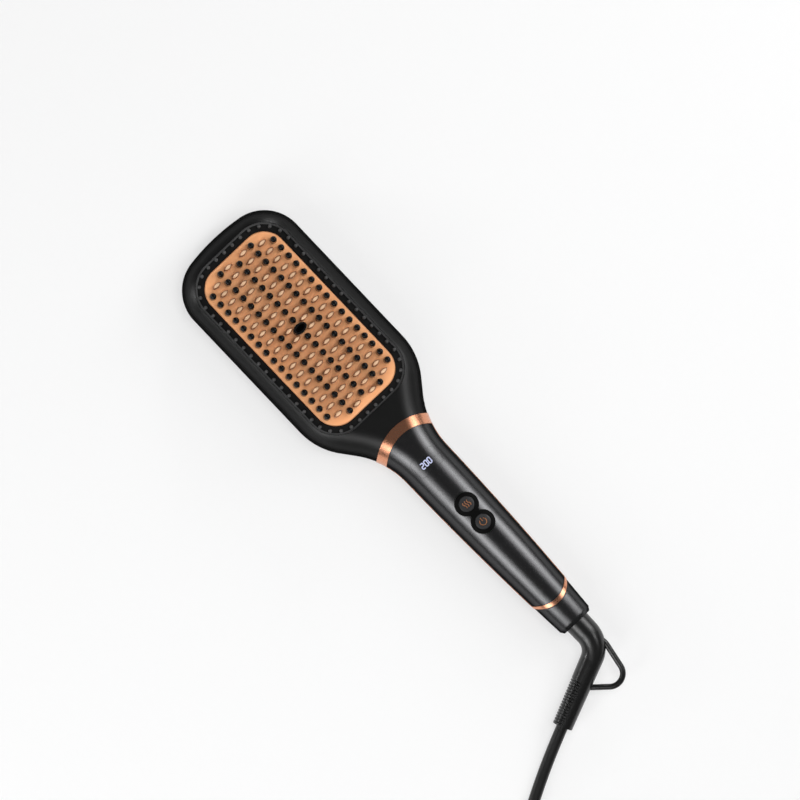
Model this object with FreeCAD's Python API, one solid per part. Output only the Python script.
import FreeCAD, Part
import math
import os

# Heated styling brush lying on its back: bristles up, head towards -X, cord end towards +X.
# Lengths are in millimetres. The origin is on the table, under the middle of the body.

# Overall body: the head runs from the tip to its shoulder, then the neck to the round handle
head_length = 100.0
neck_length = 55.0
handle_length = 109.0
head_half_width = 35.3
half_height = 13.65
edge_band = 0.15
wall = 2.0
fit = 0.1
running_gap = 0.3
trim_proud_height = 0.35
overrun = 6.0

# Plan outline of the head and neck: the shoulder and the neck each take a share of one sweep
tip_radius = 110.0
corner_radius = 22.0
shoulder_sweep_share = 0.43378
neck_sweep_share = 0.54532

# Round handle
handle_mid_share = 0.50459
handle_mid_drop = 1.15
tail_bevel_length = 2.0
tail_bevel_drop = 3.85
tail_end_drop = 5.15

# Arched joints across the body: the collar bows towards the head, the tail ring towards the cord
collar_neck_share = 0.55091
collar_bow_radius = 27.3
collar_width = 5.5
collar_tail_bow_radius = 22.8
tail_ring_from_tail = 16.0
tail_ring_bow_radius = 14.8
tail_ring_width = 2.25
tail_ring_tail_bow_radius = 13.6
trim_height = 1.1

# Heating plate, its fins and the ring of studs round it
plate_from_tip = 11.6
plate_neck_share = 0.240909
plate_side_margin = 11.05
plate_corner = 12.0
plate_thickness = 2.5
plate_drop = 2.8
plate_gap = 0.3
plate_bevel = 0.5
frame_margin = 4.6
ledge_width = 3.0
channel_drop = 0.5
lip_width = 0.9
lip_height = 0.9
stud_radius = 0.95
stud_height = 1.5
stud_dome_shares = ((0.7, 1.0), (0.35, 0.9), (0.1, 0.6), (0, 0.25))
stud_from_plate = 2.7
pin_pitch_share = 0.054118
row_pitch_share = 0.213402
fin_length_share = 0.2512
fin_half_width = 1.2
fin_height = 6.5
fin_dome_shares = ((0.8, 1.0, 1.0), (0.9, 0.95, 0.84), (0.96, 0.86, 0.55), (1.0, 0.7, 0.16))
root_depth = 0.6
post_radius = 0.8
post_height = 7.0
cap_radius = 1.85
cap_tip_radius = 1.6
cap_height = 11.5
cap_skirt_height = 1.2
cap_dome_steps = 8
cap_bore_clearance = 0.05

# Pins in each row, from one long side of the plate to the other; the middle row leaves its centre free
pin_row_counts = (16, 18, 17, 18, 16)
fin_row_counts = (17, 18, 18, 17)

# Ion outlet in the middle of the plate
outlet_half_length = 2.4
outlet_half_width = 3.75
outlet_wall = 1.0
outlet_height = 7.5
outlet_clearance = 0.2
needle_radius = 0.4
needle_height = 8.0

# Heater stack below the plate
carrier_thickness = 2.5
carrier_lip = 1.5
stack_height = 2.5
mica_thickness = 0.4
mica_length_share = 0.41176
mica_width_share = 0.39175
heater_length_share = 0.58824
heater_width_share = 0.24742
heater_offset_share = 0.23711
fuse_radius = 2.0
fuse_length = 11.0
sensor_radius = 1.0
sensor_length = 4.0
sensor_place_share = 0.2451

# Screws and their bosses
screw_head_radius = 2.3
screw_head_height = 1.2
screw_radius = 1.3
screw_bite = 8.0
screw_slot_width = 0.7
screw_slot_depth = 0.6
screw_clearance = 0.15
thread_clearance = 0.05
boss_wall = 1.6
boss_seat = 3.0
carrier_screw_length_share = 0.44118
carrier_screw_width_share = 0.24742
head_screw_neck_share = 0.4
head_screw_offset = 13.0
sleeve_screw_neck_share = 0.8
tail_screw_from_tail = 28.0

# Sleeve that joins the head to the handle inside the collar
sleeve_neck_share = 0.47273
sleeve_end_neck_share = 0.87273
sleeve_wall = 1.6
sleeve_fit = 0.2
sleeve_seat_thickness = 0.7

# Controls on the handle
mode_from_root = 28.15
button_pitch = 11.95
button_radius = 3.85
button_proud_height = 0.75
button_gap = 0.25
button_travel = 0.6
button_flange_radius = 4.5
button_flange_thickness = 0.8
button_flange_drop = 0.95
plunger_radius = 1.5
bezel_radius = 6.05
bezel_waist = 5.4
bezel_proud_height = 0.45
lens_before_root = 0.7
lens_length = 10.0
lens_width = 15.0
lens_corner = 2.0
display_length = 8.0
display_width = 12.5
display_drop = 2.6

# Control board and what stands on it
board_before_root = 6.0
board_from_tail = 34.0
board_width_share = 0.80952
board_thickness = 1.6
board_corner = 1.5
switch_width = 6.0
switch_height = 3.4
switch_bore_depth = 2.4
switch_below_flange = 1.75
plunger_clearance = 0.1
chip_place_share = 0.53211
chip_width = 7.0
chip_height = 1.2
triac_place_share = 0.10092
triac_length = 13.0
triac_width = 10.0
triac_height = 4.5
ion_module_place_share = 0.33945
ion_module_length = 22.0
ion_module_width_share = 0.57143
ion_module_height_share = 0.71429
capacitor_place_share = 0.58
capacitor_length = 13.0
capacitor_radius_share = 0.3619
rest_place_shares = (0.19266, 0.47706)
rest_thickness = 2.0
rest_half_width = 6.0
lead_radius = 1.0
heater_lead_offset = 4.0
heater_lead_reach = 30.0
supply_lead_offset = 4.5
lead_overlap = 5.0

# Swivel in the tail: a flanged spindle turns in the end web of the cap
web_length = 8.0
web_recess = 4.0
journal_share = 0.58824
journal_clearance = 0.05
flange_share = 0.76471
flange_thickness = 2.1
spindle_bore_share = 0.30588
spindle_end_inside = 0.5

# Moulded boot that bends the cord away, with the hanging loop on it
boot_root_share = 0.79412
boot_bend_radius = 12.4
boot_bend_start_share = 0.97037
boot_bend_end_radius = 5.75
boot_tip_wall = 2.2
boot_corner_from_tail = 15.35
boot_tail_length = 45.0
boot_turn = math.radians(67.0)
boot_droop = math.radians(9.0)
boot_groove_count = 16
boot_groove_width = 0.7
boot_groove_pitch = 1.5
boot_groove_depth = 0.5
boot_groove_from_end = 2.0
loop_radius = 1.5
loop_reach = 14.7
loop_corner_radius = 6.8

# Mains cord, its put-away coil, the tie and the plug
cord_radius = 3.0
lead_first_length = 14.0
lead_offsets = ((15.29, -32.42), (28.09, -55.05), (42.9, -74.0))
lead_height_shares = (0.09, 0, 0)
lead_reach_share = 0.45
coil_gap = 0.5
coil_inner_radius = 20.4
coil_whole_turns = 7
coil_steps = 14
coil_lift = 0.8
tie_thickness = 0.6
tie_width = 10.0
tie_clearance = 1.0
tie_corner = 2.5
tie_angle = math.radians(290.0)
tail_level_length = 7.0
tail_fall_length = 15.0
plug_heading = math.radians(94.0)
plug_face_width = 35.3
plug_height = 13.7
plug_length = 28.0
plug_rear_width = 15.0
plug_front_length = 11.0
plug_edge = 2.0
plug_boot_length = 18.0
plug_boot_wall = 1.6
plug_boot_tip_wall = 0.7
plug_boot_groove = 0.6
plug_boot_band_count = 9
plug_pin_radius = 2.0
plug_pin_length = 19.0
plug_pin_spacing = 18.6
plug_pin_seat = 4.0
plug_pin_shank_radius = 1.6
plug_pin_bevel = 1.0

body_length = head_length + neck_length + handle_length
tip_x = -body_length / 2
shoulder_x = tip_x + head_length
root_x = shoulder_x + neck_length
tail_x = body_length / 2
axis_z = half_height

neck_drop = head_half_width - half_height
sweep_radius = (neck_length**2 + neck_drop**2) / (2 * neck_drop)
shoulder_radius = shoulder_sweep_share * sweep_radius
neck_radius = neck_sweep_share * sweep_radius
handle_mid_radius = half_height - handle_mid_drop
tail_bevel_radius = half_height - tail_bevel_drop
tail_end_radius = half_height - tail_end_drop
room_radius = handle_mid_radius - wall
collar_x = shoulder_x + collar_neck_share * neck_length
tail_ring_x = tail_x - tail_ring_from_tail

plate_length = head_length + plate_neck_share * neck_length - plate_from_tip
plate_width = 2 * (head_half_width - plate_side_margin)
plate_x = tip_x + plate_from_tip + plate_length / 2
plate_top = axis_z + half_height - plate_drop
plate_bottom = plate_top - plate_thickness
channel_floor = plate_top - channel_drop
carrier_top = plate_bottom - stack_height
carrier_bottom = carrier_top - carrier_thickness
pin_pitch = pin_pitch_share * plate_length
row_pitch = row_pitch_share * plate_width
fin_half_length = fin_length_share * row_pitch

mode_x = root_x + mode_from_root
power_x = mode_x + button_pitch
lens_x = root_x - lens_before_root
flange_top = axis_z + room_radius - button_flange_drop
flange_bottom = flange_top - button_flange_thickness
switch_top = flange_bottom - switch_below_flange
board_top = switch_top - switch_height
board_bottom = board_top - board_thickness
board_x = root_x - board_before_root
board_end_x = tail_x - board_from_tail

web_x = tail_x - web_length
recess_x = tail_x - web_recess
journal_radius = journal_share * tail_end_radius
flange_radius = flange_share * tail_end_radius
spindle_bore = spindle_bore_share * tail_end_radius
boot_root_radius = boot_root_share * tail_end_radius
boot_bend_start_radius = boot_bend_start_share * boot_root_radius
boot_tip_radius = cord_radius + boot_tip_wall
coil_pitch = 2 * cord_radius + coil_gap
boss_radius = screw_radius + boss_wall


def vec(x, y, z):
    return FreeCAD.Vector(x, y, z)


def wire_of(edges):
    return Part.Wire(Part.__sortEdges__(edges))


def line(a, b):
    return Part.LineSegment(a, b).toShape()


def arc(a, b, c):
    return Part.Arc(a, b, c).toShape()


def box_between(low, high):
    size = high - low
    return Part.makeBox(size.x, size.y, size.z, low)


def post(x, y, z0, z1, radius):
    return Part.makeCylinder(radius, z1 - z0, vec(x, y, z0))


def rod(x0, x1, y, z, radius):
    return Part.makeCylinder(radius, x1 - x0, vec(x0, y, z), vec(1, 0, 0))


def rounded_face(x, y, half_x, half_y, radius, z):
    """A flat rectangle with round corners, centred on x, y."""
    edges = []
    ends = []
    for turn, (side_x, side_y) in enumerate(((1, 1), (-1, 1), (-1, -1), (1, -1))):
        centre = vec(x + side_x * (half_x - radius), y + side_y * (half_y - radius), z)
        spots = [
            centre + vec(math.cos(a), math.sin(a), 0) * radius
            for a in (turn * math.pi / 2, (turn + 0.5) * math.pi / 2, (turn + 1) * math.pi / 2)
        ]
        edges.append(arc(*spots))
        ends.append((spots[0], spots[2]))
    for here, after in zip(ends, ends[1:] + ends[:1]):
        edges.append(line(here[1], after[0]))
    return Part.Face(wire_of(edges))


def rounded_block(x, y, half_x, half_y, radius, z0, z1):
    return rounded_face(x, y, half_x, half_y, radius, z0).extrude(vec(0, 0, z1 - z0))


def oval_block(x, y, half_x, half_y, z0, z1):
    """An upright elliptical column."""
    ellipse = Part.Ellipse()
    ellipse.MajorRadius = max(half_x, half_y)
    ellipse.MinorRadius = min(half_x, half_y)
    face = Part.Face(Part.Wire(ellipse.toShape()))
    if half_y > half_x:
        face.rotate(vec(0, 0, 0), vec(0, 0, 1), 90)
    face.translate(vec(x, y, z0))
    return face.extrude(vec(0, 0, z1 - z0))


def turned(profile, start, direction):
    """A closed profile of (along, radius) points turned round a line."""
    along = vec(direction.x, direction.y, direction.z).normalize()
    side = vec(0, 0, 1) if abs(along.z) < abs(along.x) + abs(along.y) else vec(1, 0, 0)
    side = (side - along * side.dot(along)).normalize()
    points = [start + along * a + side * r for a, r in profile]
    return Part.Face(Part.makePolygon(points + points[:1])).revolve(start, along, 360)


# Body forms: the head and neck have full round edges, and the handle is turned


def plan_arc(centre, radius, start, end):
    spots = [
        centre + vec(math.cos(a), math.sin(a), 0) * radius for a in (start, (start + end) / 2, end)
    ]
    return arc(*spots), spots[0], spots[2]


def head_outline(inset):
    """The plan of the head and neck, drawn in by inset all round, as tangent arcs and lines."""
    tip = vec(tip_x + tip_radius, 0, axis_z)
    corner_y = head_half_width - corner_radius
    reach = math.sqrt((tip_radius - corner_radius) ** 2 - corner_y**2)
    corner = vec(tip.x - reach, corner_y, axis_z)
    shoulder = vec(shoulder_x, head_half_width - shoulder_radius, axis_z)
    neck = vec(root_x, half_height + neck_radius, axis_z)
    between = neck - shoulder
    lean = math.acos((shoulder_radius + neck_radius) / between.Length)
    fall = math.atan2(between.y, between.x) + lean
    turn = math.atan2(corner_y, -reach)
    tip_arc, tip_low, tip_high = plan_arc(tip, tip_radius - inset, 2 * math.pi - turn, turn)
    corner_arc, _, side_start = plan_arc(corner, corner_radius - inset, turn, math.pi / 2)
    shoulder_arc, side_end, fall_start = plan_arc(
        shoulder, shoulder_radius - inset, math.pi / 2, fall
    )
    neck_arc, fall_end, neck_end = plan_arc(
        neck, neck_radius + inset, fall + math.pi, 1.5 * math.pi
    )
    upper = [
        corner_arc,
        line(side_start, side_end),
        shoulder_arc,
        line(fall_start, fall_end),
        neck_arc,
    ]
    lower = [edge.mirror(vec(0, 0, 0), vec(0, 1, 0)) for edge in upper]
    mirrored_end = vec(neck_end.x, -neck_end.y, neck_end.z)
    return wire_of([tip_arc, *upper, *lower, line(neck_end, mirrored_end)])


def half_body(inset):
    """The front half of the head and neck, flat at the parting plane and round at its edge."""
    height = half_height - inset
    prism = Part.Face(head_outline(inset)).extrude(vec(0, 0, height))
    rim = [
        edge
        for edge in prism.Edges
        if edge.BoundBox.ZMin > axis_z + height / 2 and edge.BoundBox.XMin < root_x - fit
    ]
    return prism.makeFillet(height - edge_band, rim)


def handle_round(inset):
    """The turned handle from the neck to the tail, drawn in by inset."""
    bevel_x = tail_x - tail_bevel_length
    start = vec(root_x, 0, axis_z + half_height - inset)
    middle = vec(root_x + handle_mid_share * handle_length, 0, axis_z + handle_mid_radius - inset)
    bevel = vec(bevel_x, 0, axis_z + tail_bevel_radius - inset)
    end = vec(tail_x, 0, axis_z + tail_end_radius - inset)
    axis_end = vec(tail_x, 0, axis_z)
    axis_start = vec(root_x, 0, axis_z)
    edges = [
        arc(start, middle, bevel),
        line(bevel, end),
        line(end, axis_end),
        line(axis_end, axis_start),
        line(axis_start, start),
    ]
    return Part.Face(wire_of(edges)).revolve(axis_start, vec(1, 0, 0), 360)


def body(inset):
    upper = half_body(inset)
    lower = upper.mirror(vec(0, 0, axis_z), vec(0, 0, 1))
    return upper.fuse([lower, handle_round(inset)]).removeSplitter()


def tail_side(apex_x, radius, bow):
    """All that lies on the cord's side of an arched joint; bow is -1 towards the head, 1 towards the tail."""
    centre_x = apex_x - bow * radius
    far_x = tail_x + overrun
    z = -overrun
    low = vec(centre_x, -radius, z)
    high = vec(centre_x, radius, z)
    edges = [
        arc(low, vec(apex_x, 0, z), high),
        line(high, vec(far_x, radius, z)),
        line(vec(far_x, radius, z), vec(far_x, -radius, z)),
        line(vec(far_x, -radius, z), low),
    ]
    return Part.Face(wire_of(edges)).extrude(vec(0, 0, 2 * (half_height + overrun)))


def layer(z0, z1):
    side = head_half_width + overrun
    return box_between(vec(tip_x - overrun, -side, z0), vec(tail_x + overrun, side, z1))


outer = body(0)
inner = body(wall)
shell = outer.cut(inner)
proud_shell = body(-trim_proud_height).cut(inner).common(layer(0, axis_z + half_height + overrun))
behind_collar_head = tail_side(collar_x, collar_bow_radius, -1)
behind_collar = tail_side(collar_x + collar_width, collar_tail_bow_radius, -1)
behind_handle = tail_side(tail_ring_x, tail_ring_bow_radius, 1)
behind_tail_ring = tail_side(tail_ring_x + tail_ring_width, tail_ring_tail_bow_radius, 1)
above_axis = layer(axis_z, axis_z + half_height + overrun)
below_axis = layer(-overrun, axis_z)


# Screws


def screw(x, y, head_z, tip_z):
    """A pan-head screw with a crossed slot, its head's outer face at head_z."""
    way = 1 if tip_z > head_z else -1
    profile = [
        (0, 0),
        (0, screw_head_radius),
        (screw_head_height, screw_head_radius),
        (screw_head_height, screw_radius),
        (abs(tip_z - head_z) - screw_radius, screw_radius),
        (abs(tip_z - head_z), 0),
    ]
    solid = turned(profile, vec(x, y, head_z), vec(0, 0, way))
    for long_x in (True, False):
        half_x = screw_head_radius - screw_slot_width if long_x else screw_slot_width / 2
        half_y = screw_slot_width / 2 if long_x else screw_head_radius - screw_slot_width
        low = vec(x - half_x, y - half_y, head_z - screw_slot_depth)
        high = vec(x + half_x, y + half_y, head_z + screw_slot_depth)
        solid = solid.cut(box_between(low, high))
    return solid


def seated_boss(x, y, z0, z1, within):
    """A round boss that ends inside the wall it grows from."""
    return post(x, y, z0, z1, boss_radius).common(within)


def seat_hole(x, y, seat_z, through_z):
    """A screw's way in from below: room for its head up to seat_z, then for its shank."""
    head = post(x, y, -overrun, seat_z, screw_head_radius + screw_clearance)
    return head.fuse(post(x, y, -overrun, through_z, screw_radius + screw_clearance))


def pilot(x, y, z0, z1):
    return post(x, y, z0, z1, screw_radius + thread_clearance)


head_screw_places = [
    (shoulder_x + head_screw_neck_share * neck_length, side * head_screw_offset) for side in (1, -1)
]
carrier_screw_places = [
    (
        plate_x + along * carrier_screw_length_share * plate_length,
        side * carrier_screw_width_share * plate_width,
    )
    for along in (1, -1)
    for side in (1, -1)
]
sleeve_screw_x = shoulder_x + sleeve_screw_neck_share * neck_length
tail_screw_x = tail_x - tail_screw_from_tail
head_seat_z = wall + boss_seat
mid_wall = body(wall / 2)


# Head


def plate_block(grow, z0, z1):
    half_x = plate_length / 2 + grow
    half_y = plate_width / 2 + grow
    return rounded_block(plate_x, 0, half_x, half_y, plate_corner + grow, z0, z1)


def head_front_frame():
    frame = shell.cut(behind_collar_head).common(above_axis)
    for x, y in head_screw_places:
        boss = seated_boss(x, y, axis_z, axis_z + half_height, mid_wall)
        frame = frame.fuse(boss)
        frame = frame.cut(pilot(x, y, axis_z, axis_z + screw_bite))
    opening = plate_block(frame_margin, axis_z + edge_band, axis_z + half_height + overrun)
    seat = plate_block(frame_margin + carrier_lip + fit, carrier_bottom - fit, carrier_top + fit)
    return frame.cut([opening, seat]).removeSplitter()


def head_back_shell():
    back = shell.cut(behind_collar_head).common(below_axis)
    for x, y in head_screw_places:
        back = back.fuse(seated_boss(x, y, 0, axis_z, mid_wall))
        back = back.cut(seat_hole(x, y, head_seat_z, axis_z))
    for x, y in carrier_screw_places:
        back = back.fuse(post(x, y, wall / 2, carrier_bottom, boss_radius))
        back = back.cut(pilot(x, y, carrier_top - screw_bite, carrier_bottom))
    return back.removeSplitter()


def plate_carrier():
    sheet = plate_block(frame_margin + carrier_lip, carrier_bottom, carrier_top)
    for x, y in carrier_screw_places:
        hole = post(x, y, carrier_bottom, carrier_top, screw_radius + screw_clearance)
        sheet = sheet.cut(hole)
    return sheet


def stud_places():
    """Even places along the rounded rectangle that the studs stand on."""
    half_x = plate_length / 2 + stud_from_plate
    half_y = plate_width / 2 + stud_from_plate
    path = rounded_face(plate_x, 0, half_x, half_y, plate_corner + stud_from_plate, channel_floor)
    count = round(path.OuterWire.Length / pin_pitch)
    return path.OuterWire.discretize(Number=count + 1)[:-1]


def stud_frame():
    """The heat-resistant ring round the plate: ledge, channel, outer lip and studs."""
    ring = plate_block(frame_margin - fit, carrier_top, channel_floor + lip_height)
    ring = ring.cut(plate_block(frame_margin - fit - lip_width, channel_floor, plate_top + overrun))
    ring = ring.cut(plate_block(plate_gap, plate_bottom, plate_top))
    ring = ring.cut(plate_block(plate_gap - ledge_width, carrier_top, plate_top))
    studs = []
    for spot in stud_places():
        base = channel_floor - root_depth
        top = channel_floor + stud_height
        profile = [(0, 0), (0, stud_radius)]
        for share, width_share in stud_dome_shares:
            profile.append((top - base - share * stud_radius, width_share * stud_radius))
        profile.append((top - base, 0))
        studs.append(turned(profile, vec(spot.x, spot.y, base), vec(0, 0, 1)))
    return ring.fuse(studs)


def row_places(counts, gap):
    """Places of staggered rows across the plate, centred on it."""
    spots = []
    for row, count in enumerate(counts):
        y = (row - (len(counts) - 1) / 2) * gap
        for k in range(count):
            spots.append((plate_x + (k - (count - 1) / 2) * pin_pitch, y))
    return spots


def pin_places():
    clear = outlet_half_length + cap_radius
    return [(x, y) for x, y in row_places(pin_row_counts, row_pitch) if math.hypot(x - plate_x, y) > clear]


def fin():
    """One upright leaf-shaped fin that rises to a narrow ridge, standing at the origin."""
    levels = [(-root_depth, fin_half_length, fin_half_width)]
    for height_share, length_share, width_share in fin_dome_shares:
        levels.append(
            (height_share * fin_height, length_share * fin_half_length, width_share * fin_half_width)
        )
    sections = []
    for z, tip, side in levels:
        near = vec(0, -tip, z)
        far = vec(0, tip, z)
        sections.append(wire_of([arc(near, vec(side, 0, z), far), arc(far, vec(-side, 0, z), near)]))
    return Part.makeLoft(sections, True, True)


def heating_plate():
    plate = plate_block(0, plate_bottom, plate_top)
    top_edges = [edge for edge in plate.Edges if edge.BoundBox.ZMin > plate_bottom]
    plate = plate.makeChamfer(plate_bevel, [e for e in top_edges if e.BoundBox.ZLength < plate_bevel])
    pattern = fin()
    grown = []
    for x, y in row_places(fin_row_counts, row_pitch):
        grown.append(pattern.translated(vec(x, y, plate_top)))
    for x, y in pin_places():
        grown.append(post(x, y, plate_top - root_depth, plate_top + post_height, post_radius))
    hole = oval_block(
        plate_x,
        0,
        outlet_half_length + outlet_clearance,
        outlet_half_width + outlet_clearance,
        plate_bottom,
        plate_top + outlet_height,
    )
    return plate.fuse(grown).cut(hole)


def bristle_caps():
    """Round-tipped nylon caps pressed over the plate's posts, each a solid of its own."""
    shoulder = cap_height - cap_tip_radius
    bore = post_radius + cap_bore_clearance
    deep = post_height + cap_bore_clearance
    dome = [
        (shoulder + cap_tip_radius * math.sin(a), cap_tip_radius * math.cos(a))
        for a in (k * math.pi / (2 * cap_dome_steps) for k in range(1, cap_dome_steps))
    ]
    profile = [
        (0, bore),
        (0, cap_radius),
        (cap_skirt_height, cap_radius),
        (shoulder, cap_tip_radius),
        *dome,
        (cap_height, 0),
        (deep, 0),
        (deep, bore),
    ]
    pattern = turned(profile, vec(0, 0, 0), vec(0, 0, 1))
    return Part.makeCompound([pattern.translated(vec(x, y, plate_top)) for x, y in pin_places()])


def ion_outlet():
    top = plate_top + outlet_height
    column = oval_block(plate_x, 0, outlet_half_length, outlet_half_width, carrier_top, top)
    way = oval_block(
        plate_x,
        0,
        outlet_half_length - outlet_wall,
        outlet_half_width - outlet_wall,
        carrier_top,
        top,
    )
    return column.cut(way)


def ion_needle():
    height = plate_top + needle_height - stack_height - carrier_top
    profile = [(0, 0), (0, needle_radius), (height - 4 * needle_radius, needle_radius), (height, 0)]
    return turned(profile, vec(plate_x, 0, carrier_top), vec(0, 0, 1))


def mica_sheet():
    half_x = mica_length_share * plate_length
    half_y = mica_width_share * plate_width
    low = vec(plate_x - half_x, -half_y, carrier_top)
    high = vec(plate_x + half_x, half_y, carrier_top + mica_thickness)
    hole = oval_block(
        plate_x,
        0,
        outlet_half_length + outlet_clearance,
        outlet_half_width + outlet_clearance,
        carrier_top,
        plate_top,
    )
    return box_between(low, high).cut(hole)


def ptc_heaters():
    half_x = heater_length_share * plate_length / 2
    half_y = heater_width_share * plate_width / 2
    strips = []
    for side in (1, -1):
        middle = side * heater_offset_share * plate_width
        low = vec(plate_x - half_x, middle - half_y, carrier_top + mica_thickness)
        high = vec(plate_x + half_x, middle + half_y, plate_bottom)
        strips.append(box_between(low, high))
    return Part.makeCompound(strips)


def thermal_fuse():
    return rod(plate_x, plate_x + fuse_length, 0, carrier_bottom - fuse_radius, fuse_radius)


def temperature_sensor():
    start = plate_x - sensor_place_share * plate_length
    return rod(start, start + sensor_length, 0, plate_bottom - sensor_radius, sensor_radius)


def carrier_screws():
    top = carrier_top + screw_head_height
    tip = carrier_top - screw_bite + screw_radius
    return Part.makeCompound([screw(x, y, top, tip) for x, y in carrier_screw_places])


def head_screws():
    head = head_seat_z - screw_head_height
    tip = axis_z + screw_bite - screw_radius
    return Part.makeCompound([screw(x, y, head, tip) for x, y in head_screw_places])


# Collar, handle shells and trim


def neck_sleeve():
    tube = body(wall + sleeve_fit).cut(body(wall + sleeve_fit + sleeve_wall))
    side = head_half_width + overrun
    span = box_between(
        vec(shoulder_x + sleeve_neck_share * neck_length, -side, -overrun),
        vec(
            shoulder_x + sleeve_end_neck_share * neck_length,
            side,
            axis_z + half_height + overrun,
        ),
    )
    tube = tube.common(span)
    floor_z = wall + sleeve_fit
    boss = post(sleeve_screw_x, 0, floor_z, floor_z + screw_bite, boss_radius)
    return tube.fuse(boss).cut(pilot(sleeve_screw_x, 0, 0, floor_z + screw_bite))


def collar_ring():
    return proud_shell.common(behind_collar_head).cut(behind_collar)


def tail_ring():
    return proud_shell.common(behind_handle).cut(behind_tail_ring)


def handle_shell(z0, z1):
    return shell.common(behind_collar).cut(behind_handle).common(layer(z0, z1))


def side_trim(side):
    low, high = sorted((0, side * (head_half_width + overrun)))
    strip = proud_shell.common(behind_collar).cut(behind_handle)
    half = box_between(
        vec(root_x - body_length, low, axis_z - trim_height / 2),
        vec(tail_x, high, axis_z + trim_height / 2),
    )
    return strip.common(half)


def two_rounds(radius, waist, z0, z1):
    """Two round columns, one over each button, joined by a waist."""
    rounds = [post(x, 0, z0, z1, radius) for x in (mode_x, power_x)]
    bridge = box_between(vec(mode_x, -waist / 2, z0), vec(power_x, waist / 2, z1))
    return bridge.fuse(rounds).removeSplitter()


def lens_block():
    return rounded_block(
        lens_x,
        0,
        lens_length / 2,
        lens_width / 2,
        lens_corner,
        axis_z + trim_height,
        axis_z + half_height + overrun,
    )


def handle_upper_shell():
    upper = handle_shell(axis_z + trim_height / 2, axis_z + half_height + overrun)
    boss = seated_boss(tail_screw_x, 0, axis_z + trim_height, axis_z + half_height, mid_wall)
    upper = upper.fuse(boss)
    upper = upper.cut(pilot(tail_screw_x, 0, axis_z, axis_z + screw_bite))
    top = axis_z + half_height + overrun
    upper = upper.cut(two_rounds(bezel_radius + fit, bezel_waist + 2 * fit, board_top, top))
    return upper.cut(lens_block())


def handle_lower_shell():
    lower = handle_shell(-overrun, axis_z - trim_height / 2)
    boss = seated_boss(tail_screw_x, 0, 0, axis_z + trim_height - fit, mid_wall)
    lower = lower.fuse(boss)
    for share in rest_place_shares:
        x = root_x + share * handle_length
        low = vec(x - rest_thickness / 2, -rest_half_width, 0)
        high = vec(x + rest_thickness / 2, rest_half_width, board_bottom)
        lower = lower.fuse(box_between(low, high).common(mid_wall))
    tail_floor = axis_z - half_height + wall
    lower = lower.cut(seat_hole(tail_screw_x, 0, tail_floor + boss_seat, axis_z + trim_height))
    sleeve_seat = wall - sleeve_seat_thickness
    return lower.cut(seat_hole(sleeve_screw_x, 0, sleeve_seat, wall + sleeve_fit))


def handle_screws():
    sleeve_seat = wall - sleeve_seat_thickness
    first = screw(
        sleeve_screw_x, 0, sleeve_seat - screw_head_height, wall + screw_bite - screw_radius
    )
    tail_seat = axis_z - half_height + wall + boss_seat
    second = screw(
        tail_screw_x, 0, tail_seat - screw_head_height, axis_z + screw_bite - screw_radius
    )
    return Part.makeCompound([first, second])


# Display and buttons


def display_lens():
    return shell.common(lens_block())


def display_module():
    low = vec(lens_x - display_length / 2, -display_width / 2, board_top)
    high_z = axis_z + half_height - wall - display_drop
    high = vec(lens_x + display_length / 2, display_width / 2, high_z)
    return box_between(low, high)


def button_bezel():
    ring = handle_round(-bezel_proud_height).cut(handle_round(wall))
    top = axis_z + half_height + overrun
    ring = ring.common(two_rounds(bezel_radius, bezel_waist, board_top, top))
    for x in (mode_x, power_x):
        ring = ring.cut(post(x, 0, board_top, top, button_radius + button_gap))
    return ring


def button(x):
    """A round key whose face follows the handle, with a keeper flange below."""
    key = post(x, 0, flange_bottom, axis_z + half_height + overrun, button_radius)
    key = key.common(handle_round(-button_proud_height))
    flange = post(x, 0, flange_bottom, flange_top, button_flange_radius)
    return key.fuse(flange).removeSplitter()


def switch(x):
    """A key switch on the board, bored for its plunger."""
    half = switch_width / 2
    block = box_between(vec(x - half, -half, board_top), vec(x + half, half, switch_top))
    bore = post(
        x, 0, switch_top - switch_bore_depth, switch_top, plunger_radius + plunger_clearance
    )
    return block.cut(bore)


def plunger(x):
    bottom = switch_top - switch_bore_depth + 2 * button_travel
    return post(x, 0, bottom, flange_bottom, plunger_radius)


# Control board


def control_board():
    middle = (board_x + board_end_x) / 2
    half_x = (board_end_x - board_x) / 2
    half_y = board_width_share * room_radius
    return rounded_block(middle, 0, half_x, half_y, board_corner, board_bottom, board_top)


def controller_chip():
    x = root_x + chip_place_share * handle_length
    half = chip_width / 2
    return box_between(vec(x - half, -half, board_top), vec(x + half, half, board_top + chip_height))


def hung_block(place_share, length, width, height):
    """A block fixed under the board."""
    x = root_x + place_share * handle_length
    low = vec(x - length / 2, -width / 2, board_bottom - height)
    return box_between(low, vec(x + length / 2, width / 2, board_bottom))


def capacitor():
    x = root_x + capacitor_place_share * handle_length
    radius = capacitor_radius_share * room_radius
    return rod(x - capacitor_length / 2, x + capacitor_length / 2, 0, board_bottom - radius, radius)


def wires(x0, x1, offset):
    z = board_bottom - lead_radius
    return Part.makeCompound([rod(x0, x1, side * offset, z, lead_radius) for side in (1, -1)])


def heater_leads():
    return wires(board_x - heater_lead_reach, board_x + lead_overlap, heater_lead_offset)


def supply_leads():
    end = web_x - running_gap - flange_thickness - running_gap
    return wires(board_end_x - lead_overlap, end, supply_lead_offset)


# Tail: cap, swivel spindle and boot


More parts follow.
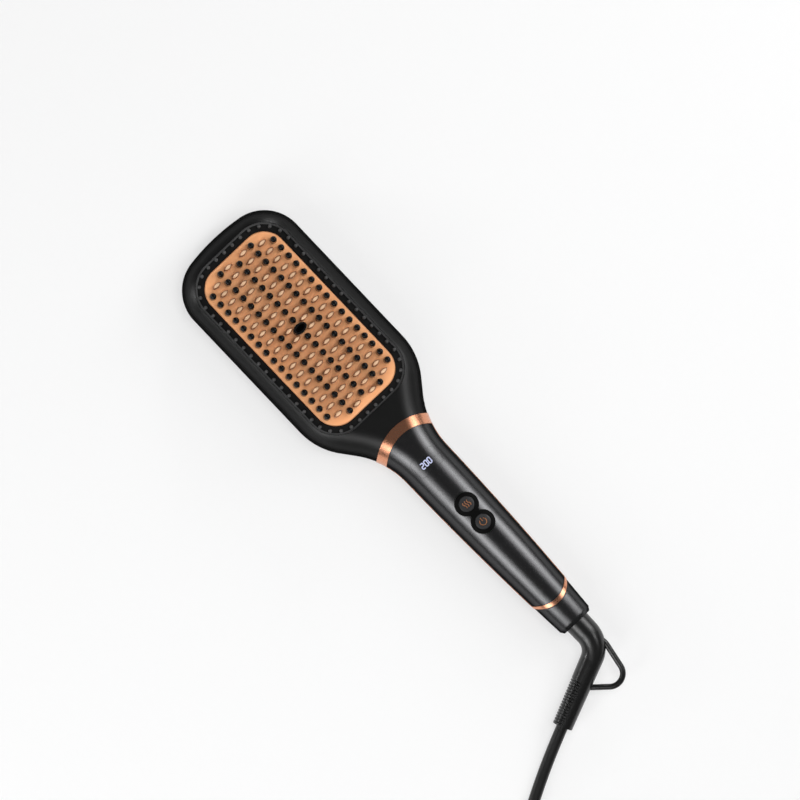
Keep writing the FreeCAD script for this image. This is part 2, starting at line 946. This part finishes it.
def end_cap():
    hollow = inner.common(box_between(
        vec(tip_x, -head_half_width, -overrun),
        vec(web_x, head_half_width, axis_z + half_height + overrun),
    ))
    cap = outer.common(behind_tail_ring).cut(hollow)
    journal = rod(web_x - overrun, tail_x + overrun, 0, axis_z, journal_radius + journal_clearance)
    recess = rod(recess_x, tail_x + overrun, 0, axis_z, boot_root_radius + running_gap)
    return cap.cut(journal).cut(recess)


def swivel_spindle():
    back = web_x - running_gap - flange_thickness
    profile = [
        (0, spindle_bore),
        (0, flange_radius),
        (flange_thickness, flange_radius),
        (flange_thickness, journal_radius),
        (tail_x - spindle_end_inside - back, journal_radius),
        (tail_x - spindle_end_inside - back, spindle_bore),
    ]
    return turned(profile, vec(back, 0, axis_z), vec(1, 0, 0))


def boot_heading():
    return vec(math.cos(boot_turn), -math.sin(boot_turn), 0)


def boot_corner():
    return vec(tail_x + boot_corner_from_tail, 0, axis_z)


def ring_at(place, heading, radius):
    return Part.Wire(Part.makeCircle(radius, place, heading))


def boot_tube():
    """The bent, tapering boot: a straight root, one bend and a tapering tail."""
    heading = boot_heading()
    reach = boot_bend_radius * math.tan(boot_turn / 2)
    start = vec(recess_x + running_gap, 0, axis_z)
    bend_start = boot_corner() - vec(reach, 0, 0)
    bend_end = boot_corner() + heading * reach
    inward = (heading - vec(1, 0, 0)).normalize()
    gap = boot_bend_radius / math.cos(boot_turn / 2) - boot_bend_radius
    bend_middle = boot_corner() + inward * gap
    tip = boot_corner() + heading * boot_tail_length
    root = Part.makeLoft(
        [ring_at(start, vec(1, 0, 0), boot_root_radius),
         ring_at(bend_start, vec(1, 0, 0), boot_bend_start_radius)], True, True
    )
    bend = Part.BRepOffsetAPI.MakePipeShell(Part.Wire(arc(bend_start, bend_middle, bend_end)))
    bend.add(ring_at(bend_start, vec(1, 0, 0), boot_bend_start_radius))
    bend.add(ring_at(bend_end, heading, boot_bend_end_radius))
    bend.build()
    bend.makeSolid()
    tail = Part.makeLoft(
        [ring_at(bend_end, heading, boot_bend_end_radius),
         ring_at(tip, heading, boot_tip_radius)], True, True
    )
    return root.fuse([bend.shape(), tail]).removeSplitter()


def boot_grooves():
    """Half-round grooves that let the boot's tail flex, on the side that it bends towards."""
    heading = boot_heading()
    inner_side = vec(heading.y, -heading.x, 0)
    core = boot_tip_radius - boot_groove_depth
    cuts = []
    for k in range(boot_groove_count):
        from_corner = boot_tail_length - boot_groove_from_end - k * boot_groove_pitch
        place = boot_corner() + heading * from_corner
        half = Part.makeBox(
            boot_groove_width,
            2 * boot_root_radius,
            boot_root_radius,
            vec(0, -boot_root_radius, 0),
        )
        turn = FreeCAD.Rotation(heading, inner_side.cross(heading), inner_side, "ZXY")
        half.Placement = FreeCAD.Placement(place, turn).multiply(half.Placement)
        cuts.append(half.cut(Part.makeCylinder(core, boot_groove_width, place, heading)))
    return cuts


def rounded_path(points, radius):
    """Straight runs joined by arcs of one radius."""
    edges = []
    here = points[0]
    for before, corner, after in zip(points, points[1:], points[2:]):
        into = (corner - before).normalize()
        out = (after - corner).normalize()
        half = into.getAngle(out) / 2
        reach = radius * math.tan(half)
        bow = (out - into).normalize() * (radius / math.cos(half) - radius)
        edges.append(line(here, corner - into * reach))
        edges.append(arc(corner - into * reach, corner + bow, corner + out * reach))
        here = corner + out * reach
    edges.append(line(here, points[-1]))
    return Part.Wire(edges)


def loop_points():
    """Corners of the hanging loop, from inside the bend round to the boot's tail."""
    corner = boot_corner()
    shares = ((-0.33, 0.17), (0.146, 0.218), (1.864, -0.102), (0.78, -1.33))
    return [corner + vec(x * loop_reach, y * loop_reach, 0) for x, y in shares]


def cord_boot():
    path = rounded_path(loop_points(), loop_corner_radius)
    start = loop_points()[0]
    loop = Part.BRepOffsetAPI.MakePipeShell(path)
    loop.add(ring_at(start, loop_points()[1] - start, loop_radius))
    loop.build()
    loop.makeSolid()
    boot = boot_tube().fuse(loop.shape())
    hollow = rod(recess_x, tail_x - spindle_end_inside, 0, axis_z, journal_radius)
    boot = boot.cut([hollow, *boot_grooves()])
    boot.rotate(vec(0, 0, axis_z), vec(1, 0, 0), math.degrees(boot_droop))
    return boot


# Mains cord: a free lead from the boot, the coil, and a short tail into the plug


def droop(place):
    """A place on the boot after the boot has turned down round the handle's axis."""
    turn = FreeCAD.Rotation(vec(1, 0, 0), math.degrees(boot_droop))
    centre = vec(0, 0, axis_z)
    return centre + turn.multVec(place - centre)


def lead_points():
    """The cord from the boot's tip down to the table and on towards the coil."""
    tip = droop(boot_corner() + boot_heading() * boot_tail_length)
    heading = (tip - droop(boot_corner())).normalize()
    start = tip + heading * running_gap
    rest_z = cord_radius + coil_lift
    points = [start, start + heading * lead_first_length]
    for (x, y), share in zip(lead_offsets, lead_height_shares):
        points.append(vec(start.x + x, start.y + y, rest_z + share * (start.z - rest_z)))
    return points


def soft_path(points, label):
    """Runs joined by the largest tangent arcs that they leave room for, with the radii printed."""
    edges = []
    radii = []
    here = points[0]
    for before, corner, after in zip(points, points[1:], points[2:]):
        into = corner - before
        out = after - corner
        half = into.getAngle(out) / 2
        reach = lead_reach_share * min(into.Length, out.Length)
        radius = reach / math.tan(half)
        radii.append(round(radius, 1))
        into.normalize()
        out.normalize()
        bow = (out - into).normalize() * (radius / math.cos(half) - radius)
        edges.append(line(here, corner - into * reach))
        edges.append(arc(corner - into * reach, corner + bow, corner + out * reach))
        here = corner + out * reach
    edges.append(line(here, points[-1]))
    print(label, "bend radii", radii)
    return Part.Wire(edges)


def tube(path, start, heading, label):
    """A cord's tube along a path, with its volume set against section times length."""
    pipe = Part.BRepOffsetAPI.MakePipeShell(path)
    pipe.add(ring_at(start, heading, cord_radius))
    pipe.build()
    pipe.makeSolid()
    solid = pipe.shape()
    expected = math.pi * cord_radius**2 * path.Length
    print(label, "length", round(path.Length, 1), "volume share", round(solid.Volume / expected, 4))
    return solid


def cord_run(points, label):
    print(label, "points", [[round(x, 2) for x in point] for point in points])
    path = soft_path(points, label)
    return tube(path, points[0], points[1] - points[0], label)


def flat_heading(a, b):
    """The heading in plan from a to b, as an angle."""
    return math.atan2(b.y - a.y, b.x - a.x)


def bend_to(place, heading, target):
    """One arc that leaves place along heading and ends at target."""
    chord = target - place
    half = heading.getAngle(chord)
    along = chord * (1 / chord.Length)
    side = (heading - along * heading.dot(along)).normalize()
    middle = place + chord * 0.5 + side * (chord.Length / 2 * math.tan(half / 2))
    return arc(place, middle, target)


def two_arcs(a, a_heading, b, b_heading):
    """Two arcs that join a to b and keep both headings."""
    chord = b - a
    both = a_heading + b_heading
    spread = 2 * (1 - a_heading.dot(b_heading))
    lean = chord.dot(both)
    reach = (math.sqrt(lean**2 + spread * chord.dot(chord)) - lean) / spread
    joint = (a + b + (a_heading - b_heading) * reach) * 0.5
    second = bend_to(b, b_heading * -1, joint)
    return [bend_to(a, a_heading, joint), second]


def coil_frame():
    """The coil's centre, the angle where the cord comes in, the whole swing, and the outer radius."""
    lead = lead_points()
    inward = flat_heading(lead[-2], lead[-1])
    swing = 2 * math.pi * coil_whole_turns + (plug_heading - inward) % (2 * math.pi)
    start = lead[-1] + vec(math.cos(inward), math.sin(inward), 0) * (2 * cord_radius)
    outer_radius = coil_inner_radius + coil_pitch * swing / (4 * math.pi)
    entry = inward - math.pi / 2
    centre = start - vec(math.cos(entry), math.sin(entry), 0) * outer_radius
    return centre, entry, swing, outer_radius


def coil_station(angle):
    """Place and heading at an angle from the coil's middle turn, where the cord climbs to the upper layer."""
    centre, entry, swing, _ = coil_frame()
    rate = coil_pitch / (2 * math.pi)
    turn = entry + swing / 2 + angle
    radius = coil_inner_radius + rate * abs(angle)
    out = vec(math.cos(turn), math.sin(turn), 0)
    along = vec(-math.sin(turn), math.cos(turn), 0)
    climb_share = min(1, max(0, angle / math.pi + 0.5))
    at_end = abs(angle) > (1 - 1e-6) * swing / 2
    drift = 0 if at_end or angle == 0 else math.copysign(rate, angle)
    rise = 2 * coil_pitch / math.pi if angle == 0 else 0
    heading = along * radius + out * drift + vec(0, 0, rise)
    return centre + out * radius + vec(0, 0, climb_share * coil_pitch), heading.normalize()


def coil_stations():
    """In along the lower layer, up a layer where the spiral reverses, and out along the upper layer."""
    half_swing = coil_frame()[2] / 2
    spiral = [
        math.pi / 2 + (half_swing - math.pi / 2) * k / coil_steps for k in range(coil_steps + 1)
    ]
    angles = [-a for a in reversed(spiral)] + [0] + spiral
    return [coil_station(angle) for angle in angles]


def least_gap(points):
    """The least clear gap between stretches of one tube that are over a half loop apart along it."""
    step = (points[1] - points[0]).Length
    apart = int(math.pi * coil_inner_radius / step)
    least = min(
        (a - b).Length for i, a in enumerate(points) for b in points[i + apart:]
    )
    return least - 2 * cord_radius


def cord_coil():
    stations = coil_stations()
    edges = []
    for (a, a_heading), (b, b_heading) in zip(stations, stations[1:]):
        edges.extend(two_arcs(a, a_heading, b, b_heading))
    start, heading = stations[0]
    begin = start - heading * (2 * cord_radius)
    end = stations[-1][0] + stations[-1][1] * (2 * cord_radius)
    path = Part.Wire([line(begin, start), *edges, line(stations[-1][0], end)])
    print("coil end", [round(x, 2) for x in end], "centre", [round(x, 2) for x in coil_frame()[0]])
    print("coil least gap", round(least_gap(path.discretize(Distance=cord_radius)), 3))
    return tube(path, begin, heading, "cord_coil")


def cord_tie():
    """A strap closed round all the turns on one side of the coil."""
    centre, _, _, outer_radius = coil_frame()
    low_r = coil_inner_radius - cord_radius - tie_clearance
    high_r = outer_radius + cord_radius + tie_clearance
    low_z = centre.z - cord_radius - (coil_lift - tie_thickness)
    high_z = centre.z + coil_pitch + cord_radius + (coil_lift - tie_thickness)
    middle_r = (low_r + high_r) / 2
    middle_z = (low_z + high_z) / 2

    def rounded(grow):
        face = rounded_face(
            middle_r,
            middle_z,
            (high_r - low_r) / 2 + grow,
            (high_z - low_z) / 2 + grow,
            tie_corner + grow,
            -tie_width / 2,
        )
        return face.extrude(vec(0, 0, tie_width))

    strap = rounded(tie_thickness).cut(rounded(0))
    strap.rotate(vec(0, 0, 0), vec(1, 0, 0), 90)
    strap.rotate(vec(0, 0, 0), vec(0, 0, 1), math.degrees(tie_angle))
    strap.translate(vec(centre.x, centre.y, 0))
    return strap


def tail_points():
    """The cord's last stretch: straight off the coil's upper layer, down, and level into the plug."""
    start, heading = coil_stations()[-1]
    start = start + heading * (2 * cord_radius)
    drop = vec(0, 0, plug_height / 2 - start.z)
    return [
        start,
        start + heading * tail_level_length,
        start + heading * (tail_level_length + tail_fall_length) + drop,
        start + heading * (2 * tail_level_length + tail_fall_length) + drop,
    ]


def plug_frame():
    """Where the cord meets the plug's boot, and the way the pins point."""
    points = tail_points()
    return points[-1], (points[-1] - points[-2]).normalize()


def set_on_plug(shape):
    """Move a shape drawn along +X from the origin onto the plug's own line."""
    place, heading = plug_frame()
    shape.rotate(vec(0, 0, 0), vec(0, 0, 1), math.degrees(math.atan2(heading.y, heading.x)))
    shape.translate(place)
    return shape


def plug_boot():
    step = plug_boot_length / plug_boot_band_count
    profile = [(0, 0)]
    for k in range(plug_boot_band_count):
        share = k / (plug_boot_band_count - 1)
        radius = cord_radius + plug_boot_tip_wall + share * (plug_boot_wall - plug_boot_tip_wall)
        radius -= plug_boot_groove * (k % 2)
        profile.extend([(k * step, radius), ((k + 1) * step, radius)])
    profile.append((plug_boot_length, 0))
    return set_on_plug(turned(profile, vec(0, 0, 0), vec(1, 0, 0)))


def plug_body():
    """A flat two-pin mains plug, wide at its face and narrow at the cord."""
    rear = plug_boot_length
    front = rear + plug_length
    z = -plug_height / 2
    outline = [
        vec(rear, -plug_rear_width / 2, z),
        vec(front - plug_front_length, -plug_face_width / 2, z),
        vec(front, -plug_face_width / 2, z),
        vec(front, plug_face_width / 2, z),
        vec(front - plug_front_length, plug_face_width / 2, z),
        vec(rear, plug_rear_width / 2, z),
    ]
    block = Part.Face(Part.makePolygon(outline + outline[:1])).extrude(vec(0, 0, plug_height))
    block = block.makeFillet(plug_edge, block.Edges)
    for side in (1, -1):
        y = side * plug_pin_spacing / 2
        socket = rod(front - plug_pin_seat, front, y, 0, plug_pin_shank_radius)
        block = block.cut(socket)
    return set_on_plug(block)


def plug_pins():
    front = plug_boot_length + plug_length
    total = plug_pin_seat + plug_pin_length
    profile = [
        (0, 0),
        (0, plug_pin_shank_radius),
        (plug_pin_seat, plug_pin_shank_radius),
        (plug_pin_seat, plug_pin_radius),
        (total - plug_pin_bevel, plug_pin_radius),
        (total, plug_pin_radius - plug_pin_bevel),
        (total, 0),
    ]
    pins = [
        turned(profile, vec(front - plug_pin_seat, side * plug_pin_spacing / 2, 0), vec(1, 0, 0))
        for side in (1, -1)
    ]
    return set_on_plug(Part.makeCompound(pins))


nodes = {
    "head_front_frame": head_front_frame(),
    "head_back_shell": head_back_shell(),
    "stud_frame": stud_frame(),
    "heating_plate": heating_plate(),
    "bristle_caps": bristle_caps(),
    "ion_outlet": ion_outlet(),
    "ion_needle": ion_needle(),
    "plate_carrier": plate_carrier(),
    "mica_sheet": mica_sheet(),
    "ptc_heaters": ptc_heaters(),
    "thermal_fuse": thermal_fuse(),
    "temperature_sensor": temperature_sensor(),
    "carrier_screws": carrier_screws(),
    "head_screws": head_screws(),
    "neck_sleeve": neck_sleeve(),
    "collar_ring": collar_ring(),
    "handle_upper_shell": handle_upper_shell(),
    "handle_lower_shell": handle_lower_shell(),
    "side_trim_left": side_trim(1),
    "side_trim_right": side_trim(-1),
    "tail_ring": tail_ring(),
    "end_cap": end_cap(),
    "handle_screws": handle_screws(),
    "display_lens": display_lens(),
    "display_module": display_module(),
    "button_bezel": button_bezel(),
    "mode_button": button(mode_x),
    "power_button": button(power_x),
    "mode_switch": switch(mode_x),
    "power_switch": switch(power_x),
    "mode_plunger": plunger(mode_x),
    "power_plunger": plunger(power_x),
    "control_board": control_board(),
    "controller_chip": controller_chip(),
    "triac": hung_block(triac_place_share, triac_length, triac_width, triac_height),
    "ion_module": hung_block(
        ion_module_place_share,
        ion_module_length,
        2 * ion_module_width_share * room_radius,
        ion_module_height_share * room_radius,
    ),
    "capacitor": capacitor(),
    "heater_leads": heater_leads(),
    "supply_leads": supply_leads(),
    "swivel_spindle": swivel_spindle(),
    "cord_boot": cord_boot(),
    "cord_lead": cord_run(lead_points(), "cord_lead"),
    "cord_coil": cord_coil(),
    "cord_tail": cord_run(tail_points(), "cord_tail"),
    "cord_tie": cord_tie(),
    "plug_boot": plug_boot(),
    "plug_body": plug_body(),
    "plug_pins": plug_pins(),
}

os.makedirs("parts", exist_ok=True)
for name, shape in nodes.items():
    shape.exportStep(f"parts/{name}.step")
    print(name, len(shape.Solids), "solids", round(shape.Volume, 1), "mm3", shape.isValid())
